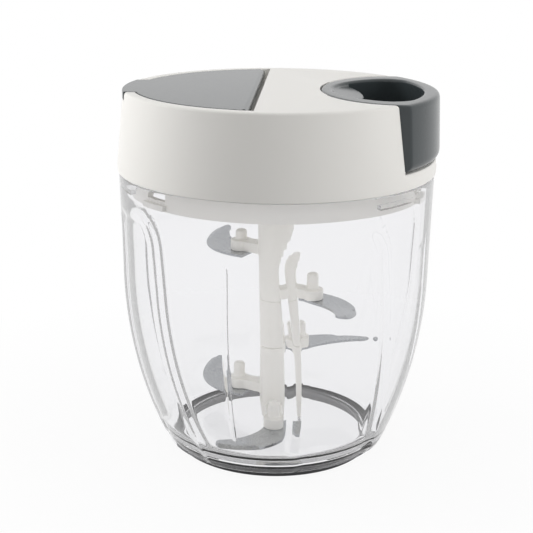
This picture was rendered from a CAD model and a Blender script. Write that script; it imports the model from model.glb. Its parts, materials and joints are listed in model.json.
"""Looks of a hand-pulled food chopper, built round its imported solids.

Lengths in the sub-assemblies are in millimetres and become metres where a mesh is
made. The frame has its origin in the middle of the base, +Z up, and the cord is
pulled towards +X.
"""
import json
import logging
import math
from dataclasses import dataclass
from enum import Enum
from typing import Callable, Iterable

import bmesh
import bpy
from mathutils import Matrix, Vector


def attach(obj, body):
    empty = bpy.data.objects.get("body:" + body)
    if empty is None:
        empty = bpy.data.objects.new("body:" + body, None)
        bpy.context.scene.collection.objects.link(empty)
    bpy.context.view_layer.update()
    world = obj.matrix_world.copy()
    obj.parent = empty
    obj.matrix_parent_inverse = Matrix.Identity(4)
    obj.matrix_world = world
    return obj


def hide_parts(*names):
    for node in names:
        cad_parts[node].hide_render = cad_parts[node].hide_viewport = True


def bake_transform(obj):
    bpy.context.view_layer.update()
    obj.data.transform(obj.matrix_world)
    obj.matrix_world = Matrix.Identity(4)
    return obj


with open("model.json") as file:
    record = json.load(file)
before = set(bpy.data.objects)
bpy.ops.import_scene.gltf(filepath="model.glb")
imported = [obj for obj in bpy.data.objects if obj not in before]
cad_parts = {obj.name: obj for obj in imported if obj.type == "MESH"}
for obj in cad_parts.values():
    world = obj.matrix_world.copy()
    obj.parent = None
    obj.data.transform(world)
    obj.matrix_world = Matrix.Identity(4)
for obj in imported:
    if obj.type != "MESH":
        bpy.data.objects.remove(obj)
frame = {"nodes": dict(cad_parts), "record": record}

LOG = logging.getLogger("chopper")
MM = 0.001
PHOTO_SIDE = 533
SENSOR = 36.0
# Index of refraction at which a clear wall no longer bends light.
STRAIGHT = 1.001
WHITE = (1, 1, 1, 1)

Shape = bmesh.types.BMesh
Flat = tuple[float, float]
Spot = tuple[float, float, float]
Outline = Callable[[Shape], None]


class Body(Enum):
    """Bodies of the frame that pieces ride on."""

    BOWL = "bowl"
    SEAL = "seal"
    COVER = "cover"
    HANDLE = "handle"
    REEL = "reel"
    FLAP = "flap"
    BLADES = "blades"


class Cut(Enum):
    """Ways in which one closed shape works on another."""

    AWAY = "DIFFERENCE"
    WITHIN = "INTERSECT"
    JOIN = "UNION"


def linear(hex_colour: str) -> tuple[float, float, float, float]:
    """Turn an sRGB hex colour into linear values.

    Args:
        hex_colour: Colour such as "#e6e4e0".

    Returns:
        Linear red, green, blue and an alpha of 1.
    """
    values = [int(hex_colour[i:i + 2], 16) / 255 for i in (1, 3, 5)]
    red, green, blue = (v / 12.92 if v <= 0.04045 else ((v + 0.055) / 1.055) ** 2.4 for v in values)
    return (red, green, blue, 1.0)


def add_node(tree: bpy.types.NodeTree, kind: str, inputs: dict | None = None, **settings) -> bpy.types.Node:
    """Add a node with its settings and links.

    Args:
        tree: Tree that the node goes into.
        kind: Node type, such as "ShaderNodeTexNoise".
        inputs: Socket name or index to a value, or to an output socket to link.
        **settings: Attributes of the node.

    Returns:
        The new node.
    """
    node = tree.nodes.new(kind)
    for name, value in settings.items():
        setattr(node, name, value)
    for key, value in (inputs or {}).items():
        if isinstance(value, bpy.types.NodeSocket):
            tree.links.new(value, node.inputs[key])
        else:
            node.inputs[key].default_value = value
    return node


def calc(tree: bpy.types.NodeTree, operation: str, *values) -> bpy.types.NodeSocket:
    """Add a Math node.

    Args:
        tree: Tree that the node goes into.
        operation: What it does, such as "MAXIMUM".
        *values: Values or output sockets that it takes, in order.

    Returns:
        Its result.
    """
    return add_node(tree, "ShaderNodeMath", dict(enumerate(values)), operation=operation).outputs[0]


@dataclass(frozen=True)
class Finish:
    """A real material and how its surface was made.

    The colour drifts between two close tones, the roughness between two values, and
    a fine bump carries the grain. Sizes of the patterns are in millimetres.
    """

    name: str
    tone: str
    shade: str
    rough_low: float
    rough_high: float
    cloud: float
    grain: float
    bump: float
    metallic: float = 0.0
    ior: float = 1.5
    coat: float = 0.0
    coat_rough: float = 0.05
    transmission: float = 0.0
    subsurface: float = 0.0
    stretch: Spot = (1.0, 1.0, 1.0)

    def make(self) -> bpy.types.Material:
        """Build the material.

        Returns:
            A node material on Object coordinates.
        """
        material = bpy.data.materials.new(self.name)
        material.use_nodes = True
        tree = material.node_tree
        shader = tree.nodes["Principled BSDF"]
        place = add_node(tree, "ShaderNodeTexCoord").outputs["Object"]
        stretched = add_node(tree, "ShaderNodeMapping", {"Vector": place, "Scale": self.stretch})
        cloud = add_node(tree, "ShaderNodeTexNoise", {
            "Vector": place, "Scale": 1 / (self.cloud * MM), "Detail": 3.0, "Roughness": 0.5})
        grain = add_node(tree, "ShaderNodeTexNoise", {
            "Vector": stretched.outputs["Vector"], "Scale": 1 / (self.grain * MM), "Detail": 2.0})
        colour = add_node(tree, "ShaderNodeMix", {
            "Factor": cloud.outputs["Fac"], "A": linear(self.tone), "B": linear(self.shade)},
            data_type="RGBA")
        spread = add_node(tree, "ShaderNodeMapRange", {
            "Value": grain.outputs["Fac"], "To Min": self.rough_low, "To Max": self.rough_high})
        relief = add_node(tree, "ShaderNodeBump", {
            "Height": grain.outputs["Fac"], "Strength": 1.0, "Distance": self.bump * MM})
        tree.links.new(colour.outputs["Result"], shader.inputs["Base Color"])
        tree.links.new(spread.outputs["Result"], shader.inputs["Roughness"])
        tree.links.new(relief.outputs["Normal"], shader.inputs["Normal"])
        values = {"Metallic": self.metallic, "Coat Weight": self.coat, "Coat Roughness": self.coat_rough,
                  "Transmission Weight": self.transmission, "Subsurface Weight": self.subsurface,
                  "Subsurface Scale": 2 * MM}
        if not self.metallic:
            values["IOR"] = self.ior
        for name, value in values.items():
            shader.inputs[name].default_value = value
        if self.transmission:
            # A ray that was mirrored in the wall leaves it straight, so that no light is led along inside.
            depth = add_node(tree, "ShaderNodeLightPath").outputs["Glossy Depth"]
            mirrored = calc(tree, "MINIMUM", depth, 1.0)
            bend = calc(tree, "MULTIPLY_ADD", mirrored, STRAIGHT - self.ior, self.ior)
            tree.links.new(bend, shader.inputs["IOR"])
        return material


# Styrene acrylonitrile, moulded against polished steel: water clear, hard gloss, a
# very faint flow pattern.
CLEAR_SAN = Finish("san_clear_polished", "#f9f9fa", "#f7f7f8", 0.0, 0.0, 60, 40, 0.004,
                   ior=1.22, coat=0.5, coat_rough=0.02, transmission=1.0)
# ABS in warm white, moulded against a lightly eroded tool: satin, with a fine orange peel.
WHITE_ABS = Finish("abs_warm_white_moulded", "#f0eeea", "#eceae5", 0.32, 0.42, 45, 0.7, 0.006)
# ABS in slate grey, moulded against polished steel: deep colour under a clean gloss.
SLATE_ABS = Finish("abs_slate_grey_polished", "#3d4345", "#393f41", 0.14, 0.2, 30, 1.2, 0.003)
# Acetal, as moulded: slightly waxy white.
ACETAL = Finish("acetal_white_moulded", "#f6f4ef", "#f1efe9", 0.28, 0.38, 20, 0.6, 0.006)
# Stainless strip, rolled along its length: streaks a few tenths of a millimetre wide.
BLADE_STEEL = Finish("stainless_strip_ground", "#b6b8ba", "#acaeb1", 0.2, 0.34, 12, 0.9, 0.004,
                     metallic=1.0, stretch=(1.0, 6.0, 1.0))
# Stainless bar, turned: fine rings along the axis.
PIN_STEEL = Finish("stainless_bar_turned", "#b4b5b7", "#a8aaad", 0.18, 0.3, 6, 0.5, 0.004,
                   metallic=1.0, stretch=(1.0, 1.0, 5.0))
# Tempered spring strip: darker, a little blue.
SPRING_STEEL = Finish("spring_strip_tempered", "#7d828a", "#6f747d", 0.25, 0.38, 8, 0.6, 0.004,
                      metallic=1.0)
# Rubber, moulded and unpolished: dull, with a dusty bloom.
BLACK_RUBBER = Finish("rubber_black_moulded", "#38383a", "#303032", 0.6, 0.8, 14, 0.5, 0.02)
# Silicone: soft white, a little light goes in.
SILICONE = Finish("silicone_white_moulded", "#ecebe8", "#e4e3e0", 0.45, 0.55, 16, 0.6, 0.008,
                  subsurface=0.2)


@dataclass(frozen=True)
class BraidedNylon:
    """Braided nylon cord: two crossing sets of fine strands, soft sheen."""

    name: str = "nylon_cord_braided"
    tone: str = "#d9d8d2"
    shade: str = "#a9a79f"
    strand: float = 1.6
    bump: float = 0.12

    def make(self) -> bpy.types.Material:
        """Build the material from two sets of strands that cross round the cord.

        Returns:
            A node material on UV, with U in millimetres along the cord and V round it.
        """
        material = bpy.data.materials.new(self.name)
        material.use_nodes = True
        tree = material.node_tree
        shader = tree.nodes["Principled BSDF"]
        spread = add_node(tree, "ShaderNodeSeparateXYZ", {
            "Vector": add_node(tree, "ShaderNodeTexCoord").outputs["UV"]})
        run = calc(tree, "MULTIPLY", spread.outputs["X"], 2 * math.pi / self.strand)
        turns = (2 * math.pi * count for count in (4, -4))
        leans = [calc(tree, "MULTIPLY_ADD", spread.outputs["Y"], turn, run) for turn in turns]
        crossed = calc(tree, "MAXIMUM", *(calc(tree, "SINE", lean) for lean in leans))
        colour = add_node(tree, "ShaderNodeMix", {
            "Factor": crossed, "A": linear(self.shade), "B": linear(self.tone)}, data_type="RGBA")
        relief = add_node(tree, "ShaderNodeBump", {
            "Height": crossed, "Strength": 1.0, "Distance": self.bump * MM})
        tree.links.new(colour.outputs["Result"], shader.inputs["Base Color"])
        tree.links.new(relief.outputs["Normal"], shader.inputs["Normal"])
        shader.inputs["Roughness"].default_value = 0.6
        shader.inputs["Sheen Weight"].default_value = 0.3
        return material


NYLON_CORD = BraidedNylon()


class Slot(Enum):
    """Material slots of the record with the finish that each takes."""

    CLEAR = ("clear_plastic", CLEAR_SAN)
    WHITE = ("white_plastic", WHITE_ABS)
    SLATE = ("slate_plastic", SLATE_ABS)
    ACETAL = ("acetal", ACETAL)
    BLADE = ("blade_steel", BLADE_STEEL)
    PIN = ("pin_steel", PIN_STEEL)
    SPRING = ("spring_steel", SPRING_STEEL)
    RUBBER = ("black_rubber", BLACK_RUBBER)
    SILICONE = ("silicone", SILICONE)
    CORD = ("cord", NYLON_CORD)


class Palette:
    """Makes each material once and hands it out by slot."""

    def __init__(self) -> None:
        """Make every material."""
        self.materials = {slot: slot.value[1].make() for slot in Slot}

    def dress_frame(self) -> None:
        """Give every CAD node the material of its slot."""
        by_name = {slot.value[0]: slot for slot in Slot}
        for part in frame["record"]["subparts"]:
            mesh = frame["nodes"][part["node"]].data
            mesh.materials.clear()
            mesh.materials.append(self.materials[by_name[part["material_slot"]]])


def smoothstep(low: float, high: float, value: float) -> float:
    """Ease from 0 at low to 1 at high.

    Args:
        low: Value with the result 0.
        high: Value with the result 1.
        value: Value to place between them.

    Returns:
        A number from 0 to 1.
    """
    t = min(1.0, max(0.0, (value - low) / (high - low)))
    return t * t * (3 - 2 * t)


def arc(middle: Flat, radius: float, start: float, end: float, steps: int) -> list[Flat]:
    """Points of an arc.

    Args:
        middle: Centre of the arc.
        radius: Its radius.
        start: First angle in degrees.
        end: Last angle in degrees.
        steps: Number of steps between them.

    Returns:
        The points in order.
    """
    angles = [math.radians(start + (end - start) * i / steps) for i in range(steps + 1)]
    return [(middle[0] + radius * math.cos(a), middle[1] + radius * math.sin(a)) for a in angles]


def turned(profile: list[Flat], steps: int, closed: bool) -> Shape:
    """Spin a profile about Z.

    Args:
        profile: Points as (radius, height) in millimetres.
        steps: Steps of the full turn.
        closed: Whether the profile is a loop.

    Returns:
        A closed shape with its normals outwards.
    """
    shape = bmesh.new()
    verts = [shape.verts.new((r * MM, 0.0, z * MM)) for r, z in profile]
    edges = [shape.edges.new(pair) for pair in zip(verts, verts[1:])]
    if closed:
        edges.append(shape.edges.new((verts[-1], verts[0])))
    bmesh.ops.spin(shape, geom=verts + edges, cent=(0, 0, 0), axis=(0, 0, 1),
                   angle=2 * math.pi, steps=steps, use_merge=True)
    bmesh.ops.remove_doubles(shape, verts=shape.verts, dist=0.002 * MM)
    bmesh.ops.recalc_face_normals(shape, faces=shape.faces)
    return shape


def raised(face_maker: Outline, low: float, high: float) -> Shape:
    """Raise a flat outline into a closed prism.

    Args:
        face_maker: Adds the outline as a face at height 0.
        low: Height of the underside in millimetres.
        high: Height of the top in millimetres.

    Returns:
        The prism with its normals outwards.
    """
    shape = bmesh.new()
    face_maker(shape)
    bmesh.ops.translate(shape, verts=shape.verts, vec=(0, 0, low * MM))
    grown = bmesh.ops.extrude_face_region(shape, geom=shape.faces[:])
    tops = [g for g in grown["geom"] if isinstance(g, bmesh.types.BMVert)]
    bmesh.ops.translate(shape, verts=tops, vec=(0, 0, (high - low) * MM))
    bmesh.ops.recalc_face_normals(shape, faces=shape.faces)
    return shape


def disc(x: float, y: float, half_x: float, half_y: float, segments: int) -> Outline:
    """Outline maker of a round or oval face.

    Args:
        x: Middle along X in millimetres.
        y: Middle along Y.
        half_x: Half its length along X.
        half_y: Half its length along Y.
        segments: Number of sides.

    Returns:
        A function that adds the face to a shape.
    """
    def add(shape: Shape) -> None:
        """Add the face."""
        made = bmesh.ops.create_circle(shape, cap_ends=True, segments=segments, radius=1.0)
        bmesh.ops.scale(shape, verts=made["verts"], vec=(half_x * MM, half_y * MM, 1))
        bmesh.ops.translate(shape, verts=made["verts"], vec=(x * MM, y * MM, 0))
    return add


def puck(radius: float, low: float, high: float, segments: int = 240) -> Shape:
    """Closed round plate about Z.

    Args:
        radius: Its radius in millimetres.
        low: Height of the underside.
        high: Height of the top.
        segments: Number of sides.

    Returns:
        The plate.
    """
    return raised(disc(0, 0, radius, radius, segments), low, high)


def polygon(points: list[Flat]) -> Outline:
    """Outline maker of a flat face.

    Args:
        points: Corners in order, in millimetres.

    Returns:
        A function that adds the face to a shape.
    """
    def add(shape: Shape) -> None:
        """Add the face."""
        shape.faces.new([shape.verts.new((x * MM, y * MM, 0)) for x, y in points])
    return add


def tube(path: list[Vector], radius: float, sides: int, marks: list[float] | None = None) -> Shape:
    """Sweep a round section along a path, with U along it and V round it.

    Args:
        path: Points in millimetres.
        radius: Radius of the section.
        sides: Sides of the section.
        marks: Length along the cord at each point, measured along the path if left out.

    Returns:
        A closed tube.
    """
    if marks is None:
        marks = [0.0]
        for a, b in zip(path, path[1:]):
            marks.append(marks[-1] + (b - a).length)
    shape = bmesh.new()
    layer = shape.loops.layers.uv.new("UVMap")
    rings = []
    side = Vector((0, 0, 1))
    for i, point in enumerate(path):
        ahead = (path[min(i + 1, len(path) - 1)] - path[max(i - 1, 0)]).normalized()
        side = (side - ahead * side.dot(ahead)).normalized()
        other = ahead.cross(side)
        turns = [2 * math.pi * j / sides for j in range(sides)]
        spokes = [(side * math.cos(a) + other * math.sin(a)) * radius for a in turns]
        rings.append([shape.verts.new((point + spoke) * MM) for spoke in spokes])
    for i, (low, high) in enumerate(zip(rings, rings[1:])):
        for j in range(sides):
            k = (j + 1) % sides
            face = shape.faces.new((low[j], low[k], high[k], high[j]))
            spots = ((marks[i], j), (marks[i], j + 1), (marks[i + 1], j + 1), (marks[i + 1], j))
            for loop, (along, around) in zip(face.loops, spots):
                loop[layer].uv = (along, around / sides)
    shape.faces.new(rings[0][::-1])
    shape.faces.new(rings[-1])
    bmesh.ops.recalc_face_normals(shape, faces=shape.faces)
    return shape


def rod(start: Spot, end: Spot, radius: float,
        sides: int = 48) -> Shape:
    """Closed round bar between two points, for joining and boring.

    Args:
        start: Middle of one end in millimetres.
        end: Middle of the other end.
        radius: Radius of the bar.
        sides: Number of sides.

    Returns:
        The bar.
    """
    low, high = Vector(start) * MM, Vector(end) * MM
    place = Matrix.Translation((low + high) / 2) @ (high - low).to_track_quat("Z", "Y").to_matrix().to_4x4()
    shape = bmesh.new()
    bmesh.ops.create_cone(shape, cap_ends=True, segments=sides, radius1=radius * MM, radius2=radius * MM,
                          depth=(high - low).length, matrix=place)
    return shape


def moved(shape: Shape, turn: float, shift: Spot = (0, 0, 0)) -> Shape:
    """Shift a shape and then turn it about Z.

    Args:
        shape: Shape to move.
        turn: Angle in degrees.
        shift: Shift before the turn, in millimetres.

    Returns:
        The same shape.
    """
    bmesh.ops.translate(shape, verts=shape.verts, vec=[c * MM for c in shift])
    about = Matrix.Rotation(math.radians(turn), 3, "Z")
    bmesh.ops.rotate(shape, verts=shape.verts, cent=(0, 0, 0), matrix=about)
    return shape


def block(low: Spot, high: Spot) -> Shape:
    """Closed box between two corners, for cutting.

    Args:
        low: Lowest corner in millimetres.
        high: Highest corner in millimetres.

    Returns:
        The box.
    """
    shape = bmesh.new()
    bmesh.ops.create_cube(shape, size=1.0)
    size = [(b - a) * MM for a, b in zip(low, high)]
    middle = [(a + b) / 2 * MM for a, b in zip(low, high)]
    bmesh.ops.scale(shape, verts=shape.verts, vec=size)
    bmesh.ops.translate(shape, verts=shape.verts, vec=middle)
    return shape


def trimmed(shape: Shape, point: Spot,
            normal: Spot) -> Shape:
    """Cut a closed shape by a plane and close it again.

    Args:
        shape: Shape to cut.
        point: Point of the plane in millimetres.
        normal: Side of the plane that goes.

    Returns:
        The same shape.
    """
    geom = shape.verts[:] + shape.edges[:] + shape.faces[:]
    cut = bmesh.ops.bisect_plane(shape, geom=geom, dist=1e-7, plane_co=[c * MM for c in point],
                                 plane_no=normal, clear_outer=True)
    edges = [g for g in cut["geom_cut"] if isinstance(g, bmesh.types.BMEdge)]
    bmesh.ops.holes_fill(shape, edges=edges)
    bmesh.ops.recalc_face_normals(shape, faces=shape.faces)
    return shape


def as_object(shape: Shape, name: str) -> bpy.types.Object:
    """Turn a shape into an object in the scene.

    Args:
        shape: Shape, which is freed.
        name: Name of the object.

    Returns:
        The object, at the origin.
    """
    mesh = bpy.data.meshes.new(name)
    shape.to_mesh(mesh)
    shape.free()
    obj = bpy.data.objects.new(name, mesh)
    bpy.context.scene.collection.objects.link(obj)
    return obj


def settle(obj: bpy.types.Object) -> None:
    """Apply an object's modifiers to its mesh."""
    graph = bpy.context.evaluated_depsgraph_get()
    mesh = bpy.data.meshes.new_from_object(obj.evaluated_get(graph))
    obj.modifiers.clear()
    old, obj.data = obj.data, mesh
    bpy.data.meshes.remove(old)


def worked(obj: bpy.types.Object, tools: Iterable[tuple[Cut, Shape]]) -> bpy.types.Object:
    """Cut or join closed shapes with an object, one after another.

    Args:
        obj: Object to work on.
        tools: How each shape works on it, and the shape.

    Returns:
        The same object.
    """
    for how, shape in tools:
        tool = as_object(shape, "tool")
        modifier = obj.modifiers.new("work", "BOOLEAN")
        modifier.operation = how.value
        modifier.solver = "EXACT"
        modifier.object = tool
        settle(obj)
        bpy.data.objects.remove(tool, do_unlink=True)
    return obj


def carved(shape: Shape, how: Cut, tool: Shape) -> Shape:
    """Work one closed shape with another.

    Args:
        shape: Shape to work on, which is freed.
        how: How the tool works on it.
        tool: Shape of the tool, which is freed.

    Returns:
        The new shape.
    """
    obj = worked(as_object(shape, "carved"), [(how, tool)])
    made = bmesh.new()
    made.from_mesh(obj.data)
    bpy.data.objects.remove(obj, do_unlink=True)
    return made


def rounded(obj: bpy.types.Object, width: float, segments: int, angle: float = 30.0,
            pick: Callable[[Vector], bool] | None = None) -> bpy.types.Object:
    """Round the sharp edges of an object.

    Args:
        obj: Object to work on.
        width: Width of the rounding in millimetres.
        segments: Segments across it.
        angle: Least angle between faces of a sharp edge, in degrees.
        pick: Says whether an edge with this middle, in millimetres, is rounded.

    Returns:
        The same object.
    """
    shape = bmesh.new()
    shape.from_mesh(obj.data)
    bmesh.ops.remove_doubles(shape, verts=shape.verts, dist=0.01 * MM)
    bmesh.ops.dissolve_limit(shape, angle_limit=math.radians(0.5), verts=shape.verts, edges=shape.edges)
    sharp = [e for e in shape.edges if len(e.link_faces) == 2 and e.calc_face_angle(0) > math.radians(angle)]
    if pick:
        sharp = [e for e in sharp if pick((e.verts[0].co + e.verts[1].co) / (2 * MM))]
    bmesh.ops.bevel(shape, geom=sharp, offset=width * MM, offset_type="OFFSET", affect="EDGES",
                    segments=segments, profile=0.5, material=-1, clamp_overlap=False)
    shape.to_mesh(obj.data)
    shape.free()
    return obj


def softened(obj: bpy.types.Object, voxel: float, rounds: int) -> bpy.types.Object:
    """Remesh a solid evenly and ease its edges, as a polished mould does.

    Args:
        obj: Object to work on.
        voxel: Size of the new faces in millimetres.
        rounds: Rounds of smoothing.

    Returns:
        The same object.
    """
    remesh = obj.modifiers.new("even", "REMESH")
    remesh.mode = "VOXEL"
    remesh.voxel_size = voxel * MM
    ease = obj.modifiers.new("ease", "SMOOTH")
    ease.factor = 0.5
    ease.iterations = rounds
    settle(obj)
    return obj


@dataclass
class Workshop:
    """Finishes pieces: material, shading, body, slot and the nodes that they stand for."""

    palette: Palette

    def finish(self, obj: bpy.types.Object, body: Body, slot: Slot, *nodes: str, sharp: float = 40.0,
               loose: bool = False) -> bpy.types.Object:
        """Dress a piece and hang it on its body.

        Args:
            obj: Piece to finish.
            body: Body that it rides on.
            slot: Material slot of its finish.
            *nodes: CAD nodes that it stands for.
            sharp: Angle above which an edge shades sharp, in degrees.
            loose: Leaves the piece off its body, because it will stretch between two.

        Returns:
            The same object.
        """
        obj.data.materials.clear()
        obj.data.materials.append(self.palette.materials[slot])
        obj.data.shade_smooth()
        obj.data.set_sharp_from_angle(angle=math.radians(sharp))
        if not loose:
            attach(obj, body.value)
        if nodes:
            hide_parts(*nodes)
        LOG.info("%s on %s, %d faces", obj.name, body.value, len(obj.data.polygons))
        return obj


@dataclass
class Assembly:
    """A sub-assembly, which models its pieces and has them finished."""

    shop: Workshop

    def build(self) -> None:
        """Model the pieces."""
        raise NotImplementedError


@dataclass
class Bowl(Assembly):
    """Clear bowl with four leaning arched panels, inner ribs and rim lugs."""

    rim_r: float = 61.3
    rim_z: float = 113.0
    wall: float = 2.8
    belly_x: float = 60.5
    belly_r: float = 170.0
    belly_z: float = 75.0
    foot_z: float = 3.4
    foot_bore: float = 41.5
    lip: Flat = (35.5, 37.3)
    under_z: float = 4.8
    floor_z: float = 7.2
    corner_r: float = 11.0
    boss_r: float = 4.4
    boss_z: float = 8.6
    pin_r: float = 2.0
    steps: int = 480
    panel_turn: float = -60.5
    panel_top: float = 102.5
    panel_half: float = 20.4
    panel_low_half: float = 19.2
    panel_corner: float = 13.0
    panel_lean: float = 5.5
    panel_pivot: float = 50.0
    panel_depth: float = 1.5
    bead_half: float = 2.7
    bead_h: float = 1.0
    bead_power: float = 1.5
    rib_half: float = 0.75
    rib_zone: float = 1.7
    rib_run: float = 2.0
    rib_depth: float = 0.9
    rib_low: float = 16.0
    rib_high: float = 90.0
    lug_turns: tuple[float, ...] = (-40.5, 79.5, 199.5)
    lug_half: float = 8.0
    lug_low: float = 107.9
    lug_high: float = 109.5
    lug_reach: float = 1.7

    def outer(self, z: float) -> float:
        """Radius of the plain outer wall at a height."""
        if z >= self.belly_z:
            share = (z - self.belly_z) / (self.rim_z - self.belly_z)
            return self.belly_x + (self.rim_r - self.belly_x) * share
        return self.belly_x - self.belly_r + math.sqrt(self.belly_r ** 2 - (z - self.belly_z) ** 2)

    def inner(self, z: float) -> float:
        """Radius of the plain inner wall at a height."""
        if z >= self.belly_z:
            return self.outer(z) - self.wall
        across = math.sqrt((self.belly_r - self.wall) ** 2 - (z - self.belly_z) ** 2)
        return self.belly_x - self.belly_r + across

    def profile(self) -> list[Flat]:
        """Half section of the bowl as a loop.

        Returns:
            Points as (radius, height) in millimetres.
        """
        foot_r = self.outer(self.foot_z)
        points = [(self.pin_r, self.under_z)]
        lip_in, lip_out = self.lip
        points += [(r, self.under_z) for r in (14.0, 26.0, lip_in - 0.3)]
        points += [(lip_in, self.under_z - 0.3), (lip_in, self.foot_z + 0.3), (lip_in + 0.3, self.foot_z)]
        points += [(lip_out - 0.3, self.foot_z), (lip_out, self.foot_z + 0.3), (lip_out, self.under_z)]
        points += [(self.foot_bore, self.under_z), (self.foot_bore, self.foot_z + 0.4)]
        points += [(self.foot_bore + 0.4, self.foot_z), (foot_r - 0.9, self.foot_z)]
        points += [(foot_r - 0.25, self.foot_z + 0.25)]
        # Rows of faces lie closer where the panels have their arches.
        spans = ((self.foot_z + 0.9, 86.0, 40), (86.0, 98.0, 18), (98.0, 106.8, 34),
                 (106.8, self.rim_z - 0.4, 5))
        for low, high, rows in spans:
            points += [(self.outer(z), z) for z in (low + (high - low) * i / rows for i in range(rows))]
        points += [(self.outer(self.rim_z - 0.4), self.rim_z - 0.4)]
        points += [(self.rim_r - 0.12, self.rim_z - 0.12), (self.rim_r - 0.4, self.rim_z)]
        bore = self.rim_r - self.wall
        points += [(bore + 0.6, self.rim_z), (bore + 0.1, self.rim_z - 0.2)]
        upper = [112.2, 111.0, self.lug_high + 0.15, self.lug_high, 108.7, self.lug_low, self.lug_low - 0.15,
                 107.0]
        points += [(self.inner(z), z) for z in upper]
        corner_z = self.floor_z + self.corner_r
        drop = self.belly_z - corner_z
        wall_x = self.belly_x - self.belly_r
        corner_x = wall_x + math.sqrt((self.belly_r - self.wall - self.corner_r) ** 2 - drop ** 2)
        turn = math.degrees(math.atan2(drop, corner_x - wall_x))
        low = corner_z - self.corner_r * math.sin(math.radians(turn))
        rows = 44
        points += [(self.inner(z), z) for z in (106 + (low - 106) * i / rows for i in range(rows))]
        points += arc((corner_x, corner_z), self.corner_r, -turn, -90, 12)
        points += [(r, self.floor_z) for r in (28.0, 20.0, 12.0, 6.5, self.boss_r + 0.5)]
        points += [(self.boss_r, self.floor_z + 0.4), (self.boss_r, self.boss_z - 0.3)]
        points += [(self.boss_r - 0.3, self.boss_z), (self.pin_r, self.boss_z)]
        return points

    def half_width(self, height: float) -> float:
        """Half the width of a panel at a height along it, below its arch."""
        share = max(0.0, min(1.0, height / (self.panel_top - self.panel_corner)))
        return self.panel_low_half + (self.panel_half - self.panel_low_half) * share

    def panel_inside(self, side: float, z: float) -> float:
        """How far a point of the wall lies inside an arched panel.

        Args:
            side: Distance from the middle of the panel along the wall, in millimetres.
            z: Height.

        Returns:
            Distance from the panel's edge, negative outside.
        """
        lean = math.radians(self.panel_lean)
        up = z - self.panel_pivot
        u = side * math.cos(lean) + up * math.sin(lean)
        v = self.panel_pivot - side * math.sin(lean) + up * math.cos(lean)
        corner_v = self.panel_top - self.panel_corner
        half = self.half_width(v)
        if v > corner_v:
            over = max(0.0, abs(u) - (half - self.panel_corner))
            return self.panel_corner - math.hypot(over, v - corner_v)
        return half - abs(u)

    def sunk(self, inside: float) -> float:
        """Depth of a panel at a distance inside its edge."""
        return self.panel_depth * smoothstep(0, 2 * self.bead_half, inside)

    def bead(self, inside: float) -> float:
        """Height of the bead that runs along the edge of a panel on the inner wall."""
        return self.bead_h * max(0.0, 1 - abs(inside / self.bead_half) ** self.bead_power)

    def column(self, even: float, z: float, wide: float) -> float:
        """Shift a column of the mesh, so that columns gather along the panel edges and the ribs.

        Args:
            even: Evenly spread angle from the middle of a panel, from -45 to 45 degrees.
            z: Height.
            wide: Radius of the outer wall there.

        Returns:
            The angle at which the column runs there.
        """
        lean = math.radians(self.panel_lean)
        half = self.half_width(z)
        spots = [edge + reach for edge in (-half, half) for reach in (-self.bead_half, self.bead_half)]
        drift = (self.panel_pivot - z) * math.tan(lean)
        edges = [math.degrees(math.asin((u / math.cos(lean) + drift) / wide)) for u in spots]
        rib = 45 - math.degrees(self.rib_zone / wide)
        places = (-45.0, -rib, *edges, rib, 45.0)
        evens = (-45.0, -41.0, -32.0, -12.0, 12.0, 32.0, 41.0, 45.0)
        for low, high, start, end in zip(evens, evens[1:], places, places[1:]):
            if even <= high:
                return start + (end - start) * (even - low) / (high - low)
        return even

    def build(self) -> None:
        """Model the bowl."""
        shape = turned(self.profile(), self.steps, closed=True)
        for vert in shape.verts:
            x, y, z = (c / MM for c in vert.co)
            radius = math.hypot(x, y)
            angle = math.degrees(math.atan2(y, x))
            even = (angle - self.panel_turn + 45) % 90 - 45
            wide = self.outer(min(self.rim_z, max(self.foot_z, z)))
            off = self.column(even, z, wide)
            angle += off - even
            new_r = radius
            inside = self.panel_inside(wide * math.sin(math.radians(off)), z)
            if abs(radius - self.outer(max(z, self.foot_z))) < 0.4 and z < self.rim_z - 0.3:
                new_r -= self.sunk(inside)
            elif z > self.floor_z and radius > self.lip[0]:
                fade = smoothstep(self.floor_z, self.floor_z + self.corner_r, z)
                new_r -= (self.sunk(inside) + self.bead(inside)) * fade
            if z > self.floor_z and abs(radius - self.inner(z)) < 0.05:
                side = radius * math.sin(math.radians(abs(off) - 45))
                across = 1 - smoothstep(self.rib_half - 0.35, self.rib_half + 0.45, abs(side))
                ends = smoothstep(self.rib_low, self.rib_low + self.rib_run, z)
                ends *= 1 - smoothstep(self.rib_high - self.rib_run, self.rib_high, z)
                new_r -= self.rib_depth * across * ends
                near = min(abs((angle - turn + 180) % 360 - 180) for turn in self.lug_turns)
                if self.lug_low - 0.01 <= z <= self.lug_high + 0.01 and near <= self.lug_half:
                    new_r -= self.lug_reach
            vert.co.x = new_r * math.cos(math.radians(angle)) * MM
            vert.co.y = new_r * math.sin(math.radians(angle)) * MM
        self.shop.finish(as_object(shape, "bowl_clear"), Body.BOWL, Slot.CLEAR, "bowl", sharp=40)


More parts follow.
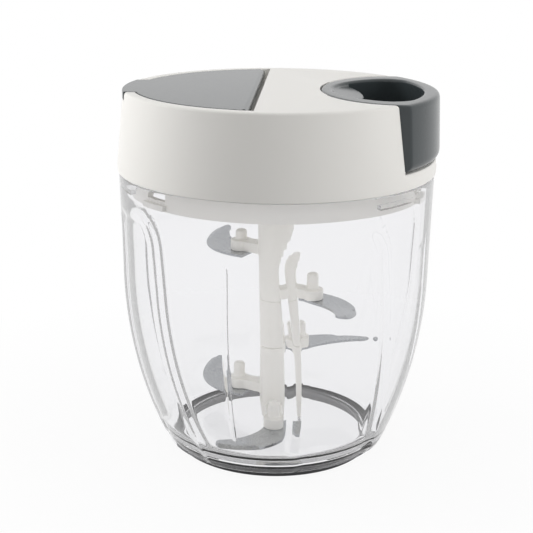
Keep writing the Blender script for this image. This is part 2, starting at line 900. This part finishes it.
@dataclass
class Cover(Assembly):
    """White cover: tapered side, handle notch, flap recess and filler port."""

    low: float = 113.5
    top: float = 144.6
    wide_r: float = 61.9
    top_r: float = 59.1
    edge_r: float = 1.2
    seat_r: float = 57.9
    plate_top: float = 115.1
    chamber_r: float = 24.0
    chamber_top: float = 130.9
    nose_x: float = 46.3
    nose_a: float = 30.0
    nose_b: float = 38.5
    shelf_z: float = 132.7
    wall_r: float = 28.8
    band_z: float = 119.5
    recess_r: float = 55.0
    recess_z: float = 141.0
    bridge_x: float = -5.5
    groove_x: float = -12.5
    groove_z: float = 139.8
    tab_half: float = 16.9
    port_r: float = 51.6
    port_x: float = -28.5
    seal_in: float = 59.0
    seal_out: float = 60.6
    cord_z: float = 122.8
    cord_hole: float = 2.2
    eyelet_r: float = 3.0
    edge_width: float = 0.45

    def build(self) -> None:
        """Model the cover."""
        low, roof = self.low, self.plate_top
        profile = [(0, self.chamber_top), (self.chamber_r, self.chamber_top), (self.chamber_r, roof),
                   (self.seat_r, roof), (self.seat_r, low), (self.seal_in, low), (self.seal_in, roof),
                   (self.seal_out, roof), (self.seal_out, low), (self.wide_r - 0.55, low),
                   (self.wide_r - 0.2, low + 0.3), (self.wide_r, low + 2.4)]
        profile += arc((self.top_r - self.edge_r, self.top - self.edge_r), self.edge_r, 3, 90, 6)
        profile += [(0, self.top)]
        obj = as_object(turned(profile, 240, closed=False), "cover_white")
        oval = disc(self.nose_x, 0, self.nose_a, self.nose_b, 160)
        shelf = raised(oval, self.shelf_z, 160)
        deep = carved(raised(oval, self.band_z, 160), Cut.AWAY, puck(self.wall_r, 100, 170, 200))
        recess = trimmed(puck(self.recess_r, self.recess_z, 160, 200), (self.bridge_x, 0, 0), (1, 0, 0))
        groove = trimmed(puck(self.recess_r, self.groove_z, 160, 200), (self.bridge_x, 0, 0), (1, 0, 0))
        groove = trimmed(groove, (self.groove_x, 0, 0), (-1, 0, 0))
        port = trimmed(puck(self.port_r, 100, 160, 200), (self.port_x, 0, 0), (1, 0, 0))
        tab = block((-80, -self.tab_half, self.recess_z), (-40, self.tab_half, 160))
        cord = rod((20, 0, self.cord_z), (40, 0, self.cord_z), self.cord_hole)
        eyelet = rod((self.wall_r - 1, 0, self.cord_z), (40, 0, self.cord_z), self.eyelet_r)
        worked(obj, [(Cut.AWAY, tool) for tool in (shelf, deep, recess, groove, tab, port, cord, eyelet)])
        rounded(obj, self.edge_width, 3, 35, pick=lambda m: m.z > 116 and m.to_2d().length > 26)
        self.shop.finish(obj, Body.COVER, Slot.WHITE, "cover_shell", sharp=35)


@dataclass
class Handle(Assembly):
    """Slate grey pull handle: a smooth rim, a shallow scoop and a deep finger hole."""

    low: float = 119.8
    top: float = 144.6
    face_r: float = 62.8
    lean: float = 0.8
    nose_x: float = 46.3
    nose_a: float = 29.6
    nose_b: float = 38.1
    shelf_low: float = 133.0
    anchor_r: float = 29.4
    hole_r: float = 33.4
    scoop_x: float = 21.0
    scoop_lip: float = 0.8
    scoop_d: float = 2.6
    wide_r: float = 31.0
    rim_r: float = 55.9
    corner_r: float = 9.0
    edge_r: float = 3.4
    lip_r: float = 1.6
    cord_z: float = 122.8
    cord_hole: float = 1.3
    pocket_r: float = 2.5
    pocket_x: Flat = (31.4, 40.0)

    def opening(self) -> list[Flat]:
        """Outline of the finger hole and its scoop: two arcs with round corners between them.

        Returns:
            The points in order.
        """
        mid_x = self.scoop_x + self.wide_r
        near, wide = self.rim_r - self.corner_r, self.wide_r - self.corner_r
        x = (mid_x ** 2 - wide ** 2 + near ** 2) / (2 * mid_x)
        y = math.sqrt(near ** 2 - x ** 2)
        face_end = math.degrees(math.atan2(y, x))
        wide_end = math.degrees(math.atan2(y, x - mid_x))
        outline = arc((x, y), self.corner_r, face_end, wide_end, 24)
        outline += arc((mid_x, 0), self.wide_r, wide_end, 360 - wide_end, 90)[1:-1]
        outline += arc((x, -y), self.corner_r, 360 - wide_end, 360 - face_end, 24)
        return outline + arc((0, 0), self.rim_r, -face_end, face_end, 40)[1:-1]

    def build(self) -> None:
        """Model the handle."""
        oval = disc(self.nose_x, 0, self.nose_a, self.nose_b, 240)
        obj = as_object(raised(oval, self.low, self.top), "handle_slate")
        edge, lip = self.edge_r, self.lip_r
        barrel = [(0, self.low)] + arc((self.face_r - edge, self.low + edge), edge, -90, 0, 10)
        barrel += arc((self.face_r - self.lean - lip, self.top - lip), lip, 0, 90, 8) + [(0, self.top)]
        housing = puck(self.anchor_r, 90, self.shelf_low)
        hole = carved(raised(polygon(self.opening()), 100, 160), Cut.AWAY, puck(self.hole_r, 90, 170))
        scoop = raised(polygon(self.opening()), 100, 160)
        run = self.hole_r - self.scoop_x
        trimmed(scoop, (self.scoop_x, 0, self.top - self.scoop_lip), (self.scoop_lip - self.scoop_d, 0, -run))
        cord = rod((20, 0, self.cord_z), (50, 0, self.cord_z), self.cord_hole, 24)
        start, end = self.pocket_x
        pocket = rod((start, 0, self.cord_z), (end, 0, self.cord_z), self.pocket_r, 32)
        worked(obj, [(Cut.WITHIN, turned(barrel, 240, closed=False))])
        worked(obj, [(Cut.AWAY, tool) for tool in (housing, hole, scoop, cord, pocket)])
        softened(obj, 0.36, 24)
        self.shop.finish(obj, Body.HANDLE, Slot.SLATE, "pull_handle", sharp=80)


@dataclass
class Flap(Assembly):
    """Slate grey filler flap with a finger tab on the rim and a hinge barrel."""

    low: float = 141.3
    top: float = 144.6
    r: float = 54.6
    tab_r: float = 59.4
    tab_half: float = 16.5
    axis_x: float = -9.6
    axis_z: float = 142.5
    barrel_r: float = 2.1
    barrel_half: float = 52.1
    pin_r: float = 1.05

    def build(self) -> None:
        """Model the flap."""
        obj = as_object(puck(self.r, self.low, self.top), "flap_slate")
        tab = puck(self.tab_r, self.low, self.top)
        for sign in (1, -1):
            trimmed(tab, (0, sign * self.tab_half, 0), (0, sign, 0))
        worked(obj, [(Cut.JOIN, tab)])
        shape = bmesh.new()
        shape.from_mesh(obj.data)
        trimmed(shape, (self.axis_x, 0, 0), (1, 0, 0))
        x, z, half = self.axis_x, self.axis_z, self.barrel_half
        barrel = rod((x, -half, z), (x, half, z), self.barrel_r)
        bore = rod((x, -80, z), (x, 80, z), self.pin_r, 24)
        shape = carved(carved(shape, Cut.JOIN, barrel), Cut.AWAY, bore)
        shape.to_mesh(obj.data)
        shape.free()
        rounded(obj, 0.45, 3, 40, pick=lambda m: m.x < self.axis_x - 3)
        self.shop.finish(obj, Body.FLAP, Slot.SLATE, "flap", sharp=10)


@dataclass
class BladeStack(Assembly):
    """White shaft in four stacked parts with arms and pegs, and a ground blade under each arm."""

    shaft_r: float = 6.0
    collar_r: float = 7.1
    foot_low: float = 8.9
    foot_top: float = 15.6
    joint_low: float = 40.0
    joint_high: float = 60.0
    collar_z: float = 88.5
    top: float = 100.2
    bore_r: float = 2.5
    arms: tuple[Spot, ...] = (
        (152.6, 78.0, 4.16), (-21.9, 62.0, 6.4), (56.1, 34.8, 6.4), (157.8, 19.0, 6.4), (-87.4, 11.1, 6.4))
    arm_w: float = 6.8
    arm_t: float = 4.2
    peg_x: float = 16.2
    peg_r: float = 2.4
    end_r: float = 4.3
    blade_t: float = 1.0
    edge_mid: Flat = (13.6, -18.0)
    edge_r: float = 26.2
    grind: float = 2.2
    back_mid: Flat = (7.25, -31.5)
    back_r: float = 29.2
    tip_y: float = -19.1
    root_x: float = 11.0
    bend_y: float = -4.7
    bend: float = 7.7
    keen: float = 0.12
    dog_r: float = 4.0
    dog_top: float = 109.2
    wing_half: Flat = (1.3, 6.8)

    def radius(self, z: float) -> float:
        """Radius of the shaft at a height."""
        share = min(1.0, max(0.0, (z - self.joint_low) / (self.collar_z - self.joint_low)))
        return self.shaft_r + (self.collar_r - self.shaft_r) * share

    def barrel(self, low: float, high: float) -> Shape:
        """Turned length of the shaft.

        Args:
            low: Height of its lower end.
            high: Height of its upper end.

        Returns:
            The closed shape.
        """
        profile = [(0, low), (self.radius(low), low), (self.radius(high), high), (0, high)]
        return turned(profile, 72, closed=False)

    def arm(self, index: int) -> list[tuple[Cut, Shape]]:
        """Arm with its waist, rounded end and upright peg.

        Args:
            index: Place in the stack, from the top.

        Returns:
            Shapes to join to the shaft.
        """
        turn, low, rise = self.arms[index]
        half = self.arm_w / 2
        side = [(0, half), (7.5, half), (10, half - 0.3)]
        plan = [(x, -y) for x, y in side] + arc((self.peg_x, 0), self.end_r, -135, 135, 24) + side[::-1]
        high = low + self.arm_t
        top = high + rise
        peg = [(0, high - 1), (self.peg_r, high - 1), (self.peg_r - 0.1, top - 0.7), (self.peg_r - 0.7, top)]
        peg.append((0, top))
        return [(Cut.JOIN, moved(raised(polygon(plan), low, high), turn)),
                (Cut.JOIN, moved(turned(peg, 36, closed=False), turn, (self.peg_x, 0, 0)))]

    def part(self, node: str, bodies: list[Shape], arms: tuple[int, ...]) -> None:
        """Join and round one moulded part of the shaft.

        Args:
            node: CAD node that it stands for.
            bodies: Its turned lengths, from the bottom up.
            arms: Places of its arms in the stack.
        """
        obj = as_object(bodies[0], node + "_moulded")
        joins = [(Cut.JOIN, body) for body in bodies[1:]]
        for index in arms:
            joins += self.arm(index)
        end = self.top - 2
        bore = turned([(0, 0), (self.bore_r, 0), (self.bore_r, end), (0, end)], 36, closed=False)
        worked(obj, joins + [(Cut.AWAY, bore)])
        softened(obj, 0.3, 5)
        self.shop.finish(obj, Body.BLADES, Slot.ACETAL, node, sharp=80)

    def blade(self, index: int) -> None:
        """Model a sickle blade with its ground edge.

        Args:
            index: Place in the stack, from the top.
        """
        turn, high, _ = self.arms[index]
        (edge_x, edge_y), (back_x, back_y) = self.edge_mid, self.back_mid
        tip_edge = math.degrees(math.asin((self.tip_y - edge_y) / self.edge_r))
        tip_back = math.degrees(math.asin((self.tip_y - back_y) / self.back_r))
        root_edge = math.degrees(math.acos((self.root_x - edge_x) / self.edge_r))
        root_back = math.degrees(math.acos((self.root_x - back_x) / self.back_r))
        outer = arc(self.edge_mid, self.edge_r, tip_edge, root_edge, 60)
        inner = arc(self.back_mid, self.back_r, root_back, tip_back, 40)
        tip_mid = ((outer[0][0] + inner[-1][0]) / 2, self.tip_y)
        tip = arc(tip_mid, (outer[0][0] - inner[-1][0]) / 2, 180, 360, 16)[1:-1]
        low_line = outer + inner + tip
        high_line = []
        for i, (x, y) in enumerate(low_line):
            share = 0.0
            if i < len(outer):
                share = self.grind * smoothstep(self.bend_y + 0.5, self.bend_y - 2.0, y)
            elif i >= len(outer) + len(inner):
                share = self.grind * smoothstep(0.35, 1.0, (i - len(outer) - len(inner)) / len(tip))
            reach = math.hypot(x - edge_x, y - edge_y)
            pull = 1 - share / reach
            high_line.append((edge_x + (x - edge_x) * pull, edge_y + (y - edge_y) * pull))
        shape = bmesh.new()
        under = high - self.blade_t
        levels = [(low_line, under), (low_line, under + self.keen), (high_line, high)]
        loops = [[shape.verts.new((x * MM, y * MM, z * MM)) for x, y in line] for line, z in levels]
        shape.faces.new(loops[0][::-1])
        shape.faces.new(loops[-1])
        for below, above in zip(loops, loops[1:]):
            for i in range(len(below)):
                k = (i + 1) % len(below)
                shape.faces.new((below[i], below[k], above[k], above[i]))
        bmesh.ops.triangulate(shape, faces=[f for f in shape.faces if len(f.verts) > 4])
        bmesh.ops.bisect_plane(shape, geom=shape.verts[:] + shape.edges[:] + shape.faces[:], dist=1e-7,
                               plane_co=(0, self.bend_y * MM, 0), plane_no=(0, 1, 0))
        rise = math.tan(math.radians(self.bend))
        for vert in shape.verts:
            vert.co.z += max(0.0, self.bend_y * MM - vert.co.y) * rise
        bmesh.ops.recalc_face_normals(shape, faces=shape.faces)
        obj = as_object(moved(shape, turn), f"blade_{index + 1}_ground")
        self.shop.finish(obj, Body.BLADES, Slot.BLADE, f"blade_{index + 1}", sharp=20)

    def build(self) -> None:
        """Model the shaft and the blades."""
        seat, (thick, reach) = self.top - 1, self.wing_half
        dog_line = [(0, seat), (self.dog_r, seat), (self.dog_r, self.dog_top), (0, self.dog_top)]
        dog = turned(dog_line, 48, closed=False)
        wings = block((-thick, -reach, seat), (thick, reach, self.dog_top))
        foot = turned([(0, self.foot_low), (self.shaft_r - 1, self.foot_low), (self.shaft_r, self.foot_top),
                       (0, self.foot_top)], 72, closed=False)
        cone, collar = self.barrel(self.joint_high, self.collar_z), self.barrel(self.collar_z, self.top)
        self.part("shaft_upper", [cone, collar, dog, wings], (0, 1))
        self.part("shaft_sleeve", [self.barrel(self.joint_low, self.joint_high)], ())
        self.part("shaft_lower", [self.barrel(self.foot_top, self.joint_low)], (2, 3))
        self.part("shaft_foot", [foot], (4,))
        for index in range(len(self.arms)):
            self.blade(index)


@dataclass
class Cord(Assembly):
    """Braided cord: wound on the drum, led through the eyelet and knotted in the handle."""

    r: float = 0.85
    wound_r: float = 15.95
    z: float = 122.8
    pitch: float = 2.2
    turns: int = 4
    per_turn: int = 72
    bend_x: float = 23.4
    bend_run: float = 1.6
    run_end: float = 27.0
    lead_start: Flat = (26.6, 26.9)
    lead_steps: int = 160
    knot_x: float = 33.5
    knot_r: float = 0.68
    knot_size: Spot = (0.75, 0.42, 0.42)
    end_x: float = 35.4
    draw: float = 300.0
    slack: Flat = (27.2, 31.2)

    def wound(self) -> None:
        """Model the turns on the drum."""
        steps = self.per_turn * self.turns
        low = self.z - self.pitch * self.turns / 2
        path = []
        for i in range(steps + 1):
            angle = math.radians(360 / self.per_turn * i - 90)
            x, y = self.wound_r * math.cos(angle), self.wound_r * math.sin(angle)
            path.append(Vector((x, y, low + self.pitch * i / self.per_turn)))
        path.insert(0, path[0] + (path[0] - path[1]).normalized() * 2 * self.r)
        path.append(path[-1] + (path[-1] - path[-2]).normalized() * 2 * self.r)
        turns = as_object(tube(path, self.r, 14), "cord_wound")
        self.shop.finish(turns, Body.REEL, Slot.CORD, "cord_winding")

    def led(self) -> None:
        """Model the straight run from the drum to the bend before the eyelet."""
        off = math.acos(self.wound_r / self.bend_x)
        start = Vector((self.wound_r * math.cos(off), -self.wound_r * math.sin(off), self.z))
        bend = Vector((self.bend_x, 0, self.z))
        toward = (bend - start).normalized()
        start += toward * math.sqrt((self.wound_r + 2 * self.r + 0.3) ** 2 - self.wound_r ** 2)
        ahead = bend + Vector((self.bend_run, 0, 0))
        curve = [bend - toward * self.bend_run]
        for i in range(1, 9):
            t = i / 8
            curve.append(curve[0] * (1 - t) ** 2 + bend * 2 * t * (1 - t) + ahead * t ** 2)
        path = [start.lerp(curve[0], i / 20) for i in range(20)] + curve
        path.append(Vector((self.run_end, 0, self.z)))
        self.shop.finish(as_object(tube(path, self.r, 16), "cord_led"), Body.COVER, Slot.CORD, "cord_run")

    def drawn(self) -> None:
        """Model the length that is drawn out between the cover and the handle."""
        start, end = self.slack
        xs = [*self.lead_start]
        xs += [start + (end - start) * i / self.lead_steps for i in range(self.lead_steps + 1)]
        xs += [end + (self.end_x - end) * i / 16 for i in range(1, 17)]
        marks = [x + self.draw * smoothstep(start, end, x) for x in xs]
        obj = as_object(tube([Vector((x, 0, self.z)) for x in xs], self.r, 16, marks), "cord_drawn")
        self.shop.finish(obj, Body.HANDLE, Slot.CORD, "cord_lead", loose=True)
        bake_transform(obj)

    def knotted(self) -> None:
        """Model the overhand knot in the handle's pocket."""
        path = []
        for i in range(97):
            t = 2 * math.pi * i / 96
            across, up = math.sin(t) + 2 * math.sin(2 * t), math.cos(t) - 2 * math.cos(2 * t)
            loop = Vector((-math.sin(3 * t), across, up)) * Vector(self.knot_size)
            path.append(Vector((self.knot_x, 0, self.z)) + loop)
        knot = as_object(tube(path, self.knot_r, 14), "cord_knotted")
        self.shop.finish(knot, Body.HANDLE, Slot.CORD, "cord_knot")

    def build(self) -> None:
        """Model the cord's lengths."""
        for length in (self.wound, self.led, self.drawn, self.knotted):
            length()


@dataclass
class Rings(Assembly):
    """Rubber ring under the bowl and silicone seal on its rim."""

    bore_r: float = 37.4
    table_r: float = 40.2
    socket_r: float = 41.4
    foot_z: float = 3.4
    high: float = 4.8
    seal_in: float = 59.05
    seal_out: float = 60.4
    seal_z: float = 113.0
    seal_h: float = 2.0

    def build(self) -> None:
        """Model both rings."""
        tread = [(self.bore_r, 0.6), (self.bore_r + 0.2, 0.15), (self.bore_r + 0.6, 0.0)]
        for r in (38.5, 39.1):
            tread += [(r - 0.2, 0.0), (r - 0.1, 0.3), (r + 0.1, 0.3), (r + 0.2, 0.0)]
        tread += [(self.table_r - 0.7, 0.0), (self.table_r - 0.2, 0.2), (self.table_r, 0.7)]
        tread += [(self.socket_r - 0.2, self.foot_z - 0.25), (self.socket_r, self.foot_z + 0.1)]
        tread += [(self.socket_r, self.high - 0.2), (self.socket_r - 0.2, self.high)]
        tread += [(self.bore_r + 0.2, self.high), (self.bore_r, self.high - 0.2)]
        ring = as_object(turned(tread, 160, closed=True), "base_ring_rubber")
        self.shop.finish(ring, Body.BOWL, Slot.RUBBER, "base_ring", sharp=50)
        near, far, low = self.seal_in, self.seal_out, self.seal_z
        lip = low + self.seal_h
        section = [(near + 0.3, low), (far - 0.3, low), (far - 0.08, low + 0.08), (far, low + 0.3),
                   (far, lip - 0.2), (far - 0.2, lip), (near + 0.2, lip), (near, lip - 0.2),
                   (near, low + 0.3), (near + 0.08, low + 0.08)]
        seal = as_object(turned(section, 240, closed=True), "seal_silicone")
        self.shop.finish(seal, Body.SEAL, Slot.SILICONE, "lid_seal", sharp=60)


@dataclass
class Stage:
    """Pale floor, soft studio light and the camera of the photograph."""

    focal_px: float = 1219.13
    yaw: float = -0.0078
    pitch: float = 0.2905
    roll: float = 0.0081
    back: float = 468.43
    height: float = 212.87
    orbit: float = 2.5
    room: float = 0.48
    bowl_room: float = 0.95
    bowl_sides: float = 0.5
    mirror_loss: float = 0.1
    paper: str = "#cecece"
    shadow_span: Flat = (0.04, 0.2)
    glow_near: float = 0.93
    bounces: int = 32

    def camera(self) -> None:
        """Place the camera that was fitted to the round edges."""
        flat = math.cos(self.pitch)
        forward = Vector((math.sin(self.yaw) * flat, math.cos(self.yaw) * flat, -math.sin(self.pitch)))
        level = Vector((math.cos(self.yaw), -math.sin(self.yaw), 0))
        upright = level.cross(forward)
        right = level * math.cos(self.roll) + upright * math.sin(self.roll)
        up = upright * math.cos(self.roll) - level * math.sin(self.roll)
        view = Matrix((right, up, -forward)).transposed().to_4x4()
        view.translation = Vector((0, -self.back, self.height)) * MM
        lens = bpy.data.cameras.new("camera")
        lens.sensor_width = SENSOR
        lens.lens = self.focal_px * SENSOR / PHOTO_SIDE
        lens.clip_start = 0.01
        obj = bpy.data.objects.new("camera", lens)
        obj.matrix_world = Matrix.Rotation(math.radians(self.orbit), 4, "Z") @ view
        bpy.context.scene.collection.objects.link(obj)
        bpy.context.scene.camera = obj

    def lamp(self, name: str, place: Spot, aim: Spot,
             size: Flat, watts: float, mirrored: bool) -> None:
        """Hang a rectangular softbox.

        Args:
            name: Name of the lamp.
            place: Its place in metres.
            aim: Point that it faces.
            size: Width and height in metres.
            watts: Power.
            mirrored: Whether glossy and clear surfaces show it.
        """
        light = bpy.data.lights.new(name, "AREA")
        light.shape = "RECTANGLE"
        light.size, light.size_y = size
        light.energy = watts
        obj = bpy.data.objects.new(name, light)
        obj.location = place
        obj.rotation_euler = (Vector(aim) - Vector(place)).to_track_quat("-Z", "Y").to_euler()
        obj.visible_glossy = obj.visible_transmission = mirrored
        bpy.context.scene.collection.objects.link(obj)

    def lights(self) -> None:
        """Hang the softboxes and set the even light of the room."""
        self.lamp("softbox_left", (-0.98, 0.19, 0.36), (0, 0, 0.09), (0.5, 0.8), 7.9, False)
        self.lamp("softbox_right", (0.99, -0.14, 0.36), (0, 0, 0.09), (0.6, 0.8), 5.0, False)
        self.lamp("softbox_top", (0.0, 0.1, 1.0), (0, 0, 0.1), (0.9, 0.9), 1.4, True)
        world = bpy.data.worlds.new("room")
        bpy.context.scene.world = world
        world.use_nodes = True
        tree = world.node_tree
        tree.nodes.clear()
        path = add_node(tree, "ShaderNodeLightPath")
        seen = self.seen(tree, path)
        toward = add_node(tree, "ShaderNodeSeparateXYZ", {
            "Vector": add_node(tree, "ShaderNodeTexCoord").outputs["Generated"]})
        side = calc(tree, "ABSOLUTE", toward.outputs["X"])
        # Lamps don't shine through clear walls, so inside the bowl the room is brighter on their sides.
        inside = calc(tree, "MULTIPLY_ADD", side, self.bowl_sides, self.bowl_room)
        within = calc(tree, "MINIMUM", path.outputs["Diffuse Depth"], 1.0)
        level = add_node(tree, "ShaderNodeMix", {
            "Factor": within, "A": self.level(tree, path), "B": inside}).outputs["Result"]
        room, white = (add_node(tree, "ShaderNodeBackground", {"Color": WHITE, "Strength": strength})
                       for strength in (self.room, level))
        mix = add_node(tree, "ShaderNodeMixShader", {0: seen, 1: room.outputs[0], 2: white.outputs[0]})
        add_node(tree, "ShaderNodeOutputWorld", {"Surface": mix.outputs[0]})

    def seen(self, tree: bpy.types.NodeTree, path: bpy.types.Node) -> bpy.types.NodeSocket:
        """Combine the rays that show the background.

        Args:
            tree: Tree of the light path.
            path: Light Path node.

        Returns:
            1 for camera, glossy and transmission rays.
        """
        first = calc(tree, "MAXIMUM", path.outputs["Is Camera Ray"], path.outputs["Is Glossy Ray"])
        return calc(tree, "MAXIMUM", first, path.outputs["Is Transmission Ray"])

    def level(self, tree: bpy.types.NodeTree, path: bpy.types.Node) -> bpy.types.NodeSocket:
        """Brightness of the sweep: white straight on, a little greyer where it is mirrored.

        Args:
            tree: Tree of the light path.
            path: Light Path node.

        Returns:
            The strength.
        """
        mirrored = calc(tree, "MINIMUM", path.outputs["Glossy Depth"], 1.0)
        return calc(tree, "MULTIPLY_ADD", mirrored, -self.mirror_loss, 1.0)

    def floor(self) -> None:
        """Lay the floor, which shows white and keeps a soft shadow."""
        shape = bmesh.new()
        bmesh.ops.create_grid(shape, x_segments=1, y_segments=1, size=4.0)
        obj = as_object(shape, "floor")
        material = bpy.data.materials.new("paper_white_sweep")
        material.use_nodes = True
        tree = material.node_tree
        tree.nodes.clear()
        path = add_node(tree, "ShaderNodeLightPath")
        place = add_node(tree, "ShaderNodeTexCoord").outputs["Object"]
        away = add_node(tree, "ShaderNodeVectorMath", {0: place}, operation="LENGTH")
        near, far = self.shadow_span
        fade = add_node(tree, "ShaderNodeMapRange", {
            "Value": away.outputs["Value"], "From Min": near, "From Max": far, "To Min": self.glow_near})
        share = calc(tree, "MULTIPLY", self.seen(tree, path), fade.outputs["Result"])
        paper = add_node(tree, "ShaderNodeBsdfDiffuse", {"Color": linear(self.paper)})
        white = add_node(tree, "ShaderNodeEmission", {"Color": WHITE, "Strength": self.level(tree, path)})
        mix = add_node(tree, "ShaderNodeMixShader", {0: share, 1: paper.outputs[0], 2: white.outputs[0]})
        add_node(tree, "ShaderNodeOutputMaterial", {"Surface": mix.outputs[0]})
        obj.data.materials.append(material)

    def build(self) -> None:
        """Set camera, lights, floor and view."""
        scene = bpy.context.scene
        scene.view_settings.view_transform = "Standard"
        # A ray crosses the clear walls, ribs and beads many times before it leaves the bowl.
        for kind in ("max_bounces", "transmission_bounces", "glossy_bounces"):
            setattr(scene.cycles, kind, self.bounces)
        self.camera()
        self.lights()
        self.floor()


def main() -> None:
    """Build the pieces in order and note the object's box."""
    logging.basicConfig(level=logging.INFO, format="%(message)s")
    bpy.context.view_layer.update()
    palette = Palette()
    palette.dress_frame()
    shop = Workshop(palette)
    Stage().build()
    for assembly in (Bowl, Rings, Cover, Handle, Flap, BladeStack, Cord):
        assembly(shop).build()


if __name__ == "__main__":
    main()
